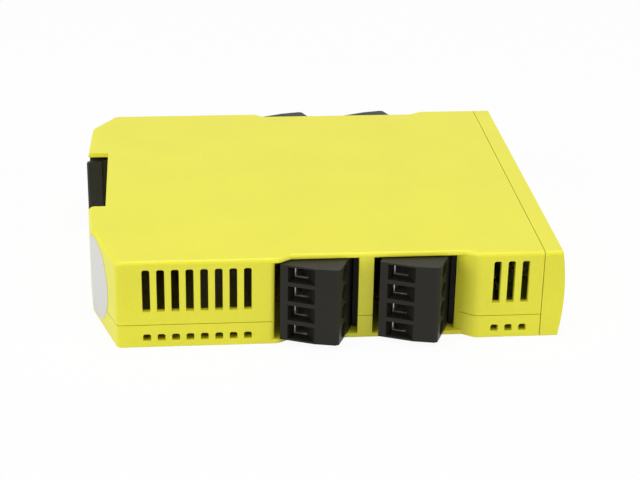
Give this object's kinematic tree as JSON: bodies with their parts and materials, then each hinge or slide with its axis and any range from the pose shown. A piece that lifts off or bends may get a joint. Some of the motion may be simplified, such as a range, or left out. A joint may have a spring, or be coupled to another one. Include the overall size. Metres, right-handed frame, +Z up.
{
  "type": "safety relay",
  "caption": "Slim yellow rail-mounted safety relay lying on its broad side, with vented sides, pluggable screw terminals, a rail notch and a sprung rail latch.",
  "frame": {"origin": "under the middle of the whole relay, on the broad side that it lies on", "axes": "+X from the rail side to the operator's front, Y between the two terminal sides (-Y is the top when the relay is on its rail), +Z up across the width"},
  "size_m": [0.116, 0.1078, 0.0225],
  "materials": {
    "housing_yellow": "fine moulded grain",
    "plug_black": "satin moulded",
    "header_black": "satin moulded",
    "latch_black": "satin moulded",
    "clear_plastic": "clear, polished ends",
    "spring_steel": "drawn wire",
    "zinc_steel": "zinc plated",
    "tinned_copper": "tin plated",
    "board_green": "solder resist",
    "relay_case": "satin moulded",
    "capacitor_sleeve": "shrunk sleeve",
    "chip_black": "moulded",
    "lamp_lens": "clear lens"
  },
  "bodies": {
    "housing": {"upper_shell": "housing_yellow", "lower_shell": "housing_yellow", "front_cap": "housing_yellow", "light_pipes": "clear_plastic", "latch_spring": "spring_steel", "main_board": "board_green", "safety_relay_1": "relay_case", "safety_relay_2": "relay_case", "capacitors": "capacitor_sleeve", "control_chips": "chip_black", "status_lamps": "lamp_lens", "header_top_rear": "header_black", "header_pins_top_rear": "tinned_copper", "header_top_front": "header_black", "header_pins_top_front": "tinned_copper", "header_bottom_rear": "header_black", "header_pins_bottom_rear": "tinned_copper", "header_bottom_front": "header_black", "header_pins_bottom_front": "tinned_copper"},
    "latch": {"rail_latch": "latch_black"},
    "plug_top_rear": {"plug_top_rear": "plug_black", "contacts_top_rear": "tinned_copper"},
    "cage_top_rear_1": {"clamp_cage_top_rear_1": "zinc_steel"},
    "screw_top_rear_1": {"clamp_screw_top_rear_1": "zinc_steel"},
    "cage_top_rear_2": {"clamp_cage_top_rear_2": "zinc_steel"},
    "screw_top_rear_2": {"clamp_screw_top_rear_2": "zinc_steel"},
    "cage_top_rear_3": {"clamp_cage_top_rear_3": "zinc_steel"},
    "screw_top_rear_3": {"clamp_screw_top_rear_3": "zinc_steel"},
    "cage_top_rear_4": {"clamp_cage_top_rear_4": "zinc_steel"},
    "screw_top_rear_4": {"clamp_screw_top_rear_4": "zinc_steel"},
    "plug_top_front": {"plug_top_front": "plug_black", "contacts_top_front": "tinned_copper"},
    "cage_top_front_1": {"clamp_cage_top_front_1": "zinc_steel"},
    "screw_top_front_1": {"clamp_screw_top_front_1": "zinc_steel"},
    "cage_top_front_2": {"clamp_cage_top_front_2": "zinc_steel"},
    "screw_top_front_2": {"clamp_screw_top_front_2": "zinc_steel"},
    "cage_top_front_3": {"clamp_cage_top_front_3": "zinc_steel"},
    "screw_top_front_3": {"clamp_screw_top_front_3": "zinc_steel"},
    "cage_top_front_4": {"clamp_cage_top_front_4": "zinc_steel"},
    "screw_top_front_4": {"clamp_screw_top_front_4": "zinc_steel"},
    "plug_bottom_rear": {"plug_bottom_rear": "plug_black", "contacts_bottom_rear": "tinned_copper"},
    "cage_bottom_rear_1": {"clamp_cage_bottom_rear_1": "zinc_steel"},
    "screw_bottom_rear_1": {"clamp_screw_bottom_rear_1": "zinc_steel"},
    "cage_bottom_rear_2": {"clamp_cage_bottom_rear_2": "zinc_steel"},
    "screw_bottom_rear_2": {"clamp_screw_bottom_rear_2": "zinc_steel"},
    "cage_bottom_rear_3": {"clamp_cage_bottom_rear_3": "zinc_steel"},
    "screw_bottom_rear_3": {"clamp_screw_bottom_rear_3": "zinc_steel"},
    "cage_bottom_rear_4": {"clamp_cage_bottom_rear_4": "zinc_steel"},
    "screw_bottom_rear_4": {"clamp_screw_bottom_rear_4": "zinc_steel"},
    "plug_bottom_front": {"plug_bottom_front": "plug_black", "contacts_bottom_front": "tinned_copper"},
    "cage_bottom_front_1": {"clamp_cage_bottom_front_1": "zinc_steel"},
    "screw_bottom_front_1": {"clamp_screw_bottom_front_1": "zinc_steel"},
    "cage_bottom_front_2": {"clamp_cage_bottom_front_2": "zinc_steel"},
    "screw_bottom_front_2": {"clamp_screw_bottom_front_2": "zinc_steel"},
    "cage_bottom_front_3": {"clamp_cage_bottom_front_3": "zinc_steel"},
    "screw_bottom_front_3": {"clamp_screw_bottom_front_3": "zinc_steel"},
    "cage_bottom_front_4": {"clamp_cage_bottom_front_4": "zinc_steel"},
    "screw_bottom_front_4": {"clamp_screw_bottom_front_4": "zinc_steel"}
  },
  "joints": [
    {"name": "latch_release", "type": "slide", "parent": "housing", "child": "latch", "axis": [0, 1, 0], "range_m": [0, 0.004], "stiffness_N_per_m": 1500, "springref_m": -0.002, "deforming": ["latch_spring"]},
    {"name": "plug_top_rear_draw", "type": "slide", "parent": "housing", "child": "plug_top_rear", "axis": [-0.342, -0.9397, 0], "range_m": [0, 0.02]},
    {"name": "cage_top_rear_1_rise", "type": "slide", "parent": "plug_top_rear", "child": "cage_top_rear_1", "axis": [0.9397, -0.342, 0], "range_m": [0, 0.0022]},
    {"name": "screw_top_rear_1_turn", "type": "hinge", "parent": "plug_top_rear", "child": "screw_top_rear_1", "pos_m": [0.00208, -0.04929, 0.0037], "axis": [-0.9397, 0.342, 0], "range_deg": [0, 1584.5]},
    {"name": "cage_top_rear_2_rise", "type": "slide", "parent": "plug_top_rear", "child": "cage_top_rear_2", "axis": [0.9397, -0.342, 0], "range_m": [0, 0.0022]},
    {"name": "screw_top_rear_2_turn", "type": "hinge", "parent": "plug_top_rear", "child": "screw_top_rear_2", "pos_m": [0.00208, -0.04929, 0.0087], "axis": [-0.9397, 0.342, 0], "range_deg": [0, 1584.5]},
    {"name": "cage_top_rear_3_rise", "type": "slide", "parent": "plug_top_rear", "child": "cage_top_rear_3", "axis": [0.9397, -0.342, 0], "range_m": [0, 0.0022]},
    {"name": "screw_top_rear_3_turn", "type": "hinge", "parent": "plug_top_rear", "child": "screw_top_rear_3", "pos_m": [0.00208, -0.04929, 0.0137], "axis": [-0.9397, 0.342, 0], "range_deg": [0, 1584.5]},
    {"name": "cage_top_rear_4_rise", "type": "slide", "parent": "plug_top_rear", "child": "cage_top_rear_4", "axis": [0.9397, -0.342, 0], "range_m": [0, 0.0022]},
    {"name": "screw_top_rear_4_turn", "type": "hinge", "parent": "plug_top_rear", "child": "screw_top_rear_4", "pos_m": [0.00208, -0.04929, 0.0187], "axis": [-0.9397, 0.342, 0], "range_deg": [0, 1584.5]},
    {"name": "plug_top_front_draw", "type": "slide", "parent": "housing", "child": "plug_top_front", "axis": [-0.342, -0.9397, 0], "range_m": [0, 0.02]},
    {"name": "cage_top_front_1_rise", "type": "slide", "parent": "plug_top_front", "child": "cage_top_front_1", "axis": [0.9397, -0.342, 0], "range_m": [0, 0.0022]},
    {"name": "screw_top_front_1_turn", "type": "hinge", "parent": "plug_top_front", "child": "screw_top_front_1", "pos_m": [0.02583, -0.04929, 0.0037], "axis": [-0.9397, 0.342, 0], "range_deg": [0, 1584.5]},
    {"name": "cage_top_front_2_rise", "type": "slide", "parent": "plug_top_front", "child": "cage_top_front_2", "axis": [0.9397, -0.342, 0], "range_m": [0, 0.0022]},
    {"name": "screw_top_front_2_turn", "type": "hinge", "parent": "plug_top_front", "child": "screw_top_front_2", "pos_m": [0.02583, -0.04929, 0.0087], "axis": [-0.9397, 0.342, 0], "range_deg": [0, 1584.5]},
    {"name": "cage_top_front_3_rise", "type": "slide", "parent": "plug_top_front", "child": "cage_top_front_3", "axis": [0.9397, -0.342, 0], "range_m": [0, 0.0022]},
    {"name": "screw_top_front_3_turn", "type": "hinge", "parent": "plug_top_front", "child": "screw_top_front_3", "pos_m": [0.02583, -0.04929, 0.0137], "axis": [-0.9397, 0.342, 0], "range_deg": [0, 1584.5]},
    {"name": "cage_top_front_4_rise", "type": "slide", "parent": "plug_top_front", "child": "cage_top_front_4", "axis": [0.9397, -0.342, 0], "range_m": [0, 0.0022]},
    {"name": "screw_top_front_4_turn", "type": "hinge", "parent": "plug_top_front", "child": "screw_top_front_4", "pos_m": [0.02583, -0.04929, 0.0187], "axis": [-0.9397, 0.342, 0], "range_deg": [0, 1584.5]},
    {"name": "plug_bottom_rear_draw", "type": "slide", "parent": "housing", "child": "plug_bottom_rear", "axis": [-0.342, 0.9397, 0], "range_m": [0, 0.02]},
    {"name": "cage_bottom_rear_1_rise", "type": "slide", "parent": "plug_bottom_rear", "child": "cage_bottom_rear_1", "axis": [0.9397, 0.342, 0], "range_m": [0, 0.0022]},
    {"name": "screw_bottom_rear_1_turn", "type": "hinge", "parent": "plug_bottom_rear", "child": "screw_bottom_rear_1", "pos_m": [0.00208, 0.04929, 0.0187], "axis": [-0.9397, -0.342, 0], "range_deg": [0, 1584.5]},
    {"name": "cage_bottom_rear_2_rise", "type": "slide", "parent": "plug_bottom_rear", "child": "cage_bottom_rear_2", "axis": [0.9397, 0.342, 0], "range_m": [0, 0.0022]},
    {"name": "screw_bottom_rear_2_turn", "type": "hinge", "parent": "plug_bottom_rear", "child": "screw_bottom_rear_2", "pos_m": [0.00208, 0.04929, 0.0137], "axis": [-0.9397, -0.342, 0], "range_deg": [0, 1584.5]},
    {"name": "cage_bottom_rear_3_rise", "type": "slide", "parent": "plug_bottom_rear", "child": "cage_bottom_rear_3", "axis": [0.9397, 0.342, 0], "range_m": [0, 0.0022]},
    {"name": "screw_bottom_rear_3_turn", "type": "hinge", "parent": "plug_bottom_rear", "child": "screw_bottom_rear_3", "pos_m": [0.00208, 0.04929, 0.0087], "axis": [-0.9397, -0.342, 0], "range_deg": [0, 1584.5]},
    {"name": "cage_bottom_rear_4_rise", "type": "slide", "parent": "plug_bottom_rear", "child": "cage_bottom_rear_4", "axis": [0.9397, 0.342, 0], "range_m": [0, 0.0022]},
    {"name": "screw_bottom_rear_4_turn", "type": "hinge", "parent": "plug_bottom_rear", "child": "screw_bottom_rear_4", "pos_m": [0.00208, 0.04929, 0.0037], "axis": [-0.9397, -0.342, 0], "range_deg": [0, 1584.5]},
    {"name": "plug_bottom_front_draw", "type": "slide", "parent": "housing", "child": "plug_bottom_front", "axis": [-0.342, 0.9397, 0], "range_m": [0, 0.02]},
    {"name": "cage_bottom_front_1_rise", "type": "slide", "parent": "plug_bottom_front", "child": "cage_bottom_front_1", "axis": [0.9397, 0.342, 0], "range_m": [0, 0.0022]},
    {"name": "screw_bottom_front_1_turn", "type": "hinge", "parent": "plug_bottom_front", "child": "screw_bottom_front_1", "pos_m": [0.02583, 0.04929, 0.0187], "axis": [-0.9397, -0.342, 0], "range_deg": [0, 1584.5]},
    {"name": "cage_bottom_front_2_rise", "type": "slide", "parent": "plug_bottom_front", "child": "cage_bottom_front_2", "axis": [0.9397, 0.342, 0], "range_m": [0, 0.0022]},
    {"name": "screw_bottom_front_2_turn", "type": "hinge", "parent": "plug_bottom_front", "child": "screw_bottom_front_2", "pos_m": [0.02583, 0.04929, 0.0137], "axis": [-0.9397, -0.342, 0], "range_deg": [0, 1584.5]},
    {"name": "cage_bottom_front_3_rise", "type": "slide", "parent": "plug_bottom_front", "child": "cage_bottom_front_3", "axis": [0.9397, 0.342, 0], "range_m": [0, 0.0022]},
    {"name": "screw_bottom_front_3_turn", "type": "hinge", "parent": "plug_bottom_front", "child": "screw_bottom_front_3", "pos_m": [0.02583, 0.04929, 0.0087], "axis": [-0.9397, -0.342, 0], "range_deg": [0, 1584.5]},
    {"name": "cage_bottom_front_4_rise", "type": "slide", "parent": "plug_bottom_front", "child": "cage_bottom_front_4", "axis": [0.9397, 0.342, 0], "range_m": [0, 0.0022]},
    {"name": "screw_bottom_front_4_turn", "type": "hinge", "parent": "plug_bottom_front", "child": "screw_bottom_front_4", "pos_m": [0.02583, 0.04929, 0.0037], "axis": [-0.9397, -0.342, 0], "range_deg": [0, 1584.5]}
  ],
  "couplings": [
    {"joint": "screw_top_rear_1_turn", "follows": "cage_top_rear_1_rise", "rad_per_m": 12566},
    {"joint": "screw_top_rear_2_turn", "follows": "cage_top_rear_2_rise", "rad_per_m": 12566},
    {"joint": "screw_top_rear_3_turn", "follows": "cage_top_rear_3_rise", "rad_per_m": 12566},
    {"joint": "screw_top_rear_4_turn", "follows": "cage_top_rear_4_rise", "rad_per_m": 12566},
    {"joint": "screw_top_front_1_turn", "follows": "cage_top_front_1_rise", "rad_per_m": 12566},
    {"joint": "screw_top_front_2_turn", "follows": "cage_top_front_2_rise", "rad_per_m": 12566},
    {"joint": "screw_top_front_3_turn", "follows": "cage_top_front_3_rise", "rad_per_m": 12566},
    {"joint": "screw_top_front_4_turn", "follows": "cage_top_front_4_rise", "rad_per_m": 12566},
    {"joint": "screw_bottom_rear_1_turn", "follows": "cage_bottom_rear_1_rise", "rad_per_m": 12566},
    {"joint": "screw_bottom_rear_2_turn", "follows": "cage_bottom_rear_2_rise", "rad_per_m": 12566},
    {"joint": "screw_bottom_rear_3_turn", "follows": "cage_bottom_rear_3_rise", "rad_per_m": 12566},
    {"joint": "screw_bottom_rear_4_turn", "follows": "cage_bottom_rear_4_rise", "rad_per_m": 12566},
    {"joint": "screw_bottom_front_1_turn", "follows": "cage_bottom_front_1_rise", "rad_per_m": 12566},
    {"joint": "screw_bottom_front_2_turn", "follows": "cage_bottom_front_2_rise", "rad_per_m": 12566},
    {"joint": "screw_bottom_front_3_turn", "follows": "cage_bottom_front_3_rise", "rad_per_m": 12566},
    {"joint": "screw_bottom_front_4_turn", "follows": "cage_bottom_front_4_rise", "rad_per_m": 12566}
  ]
}
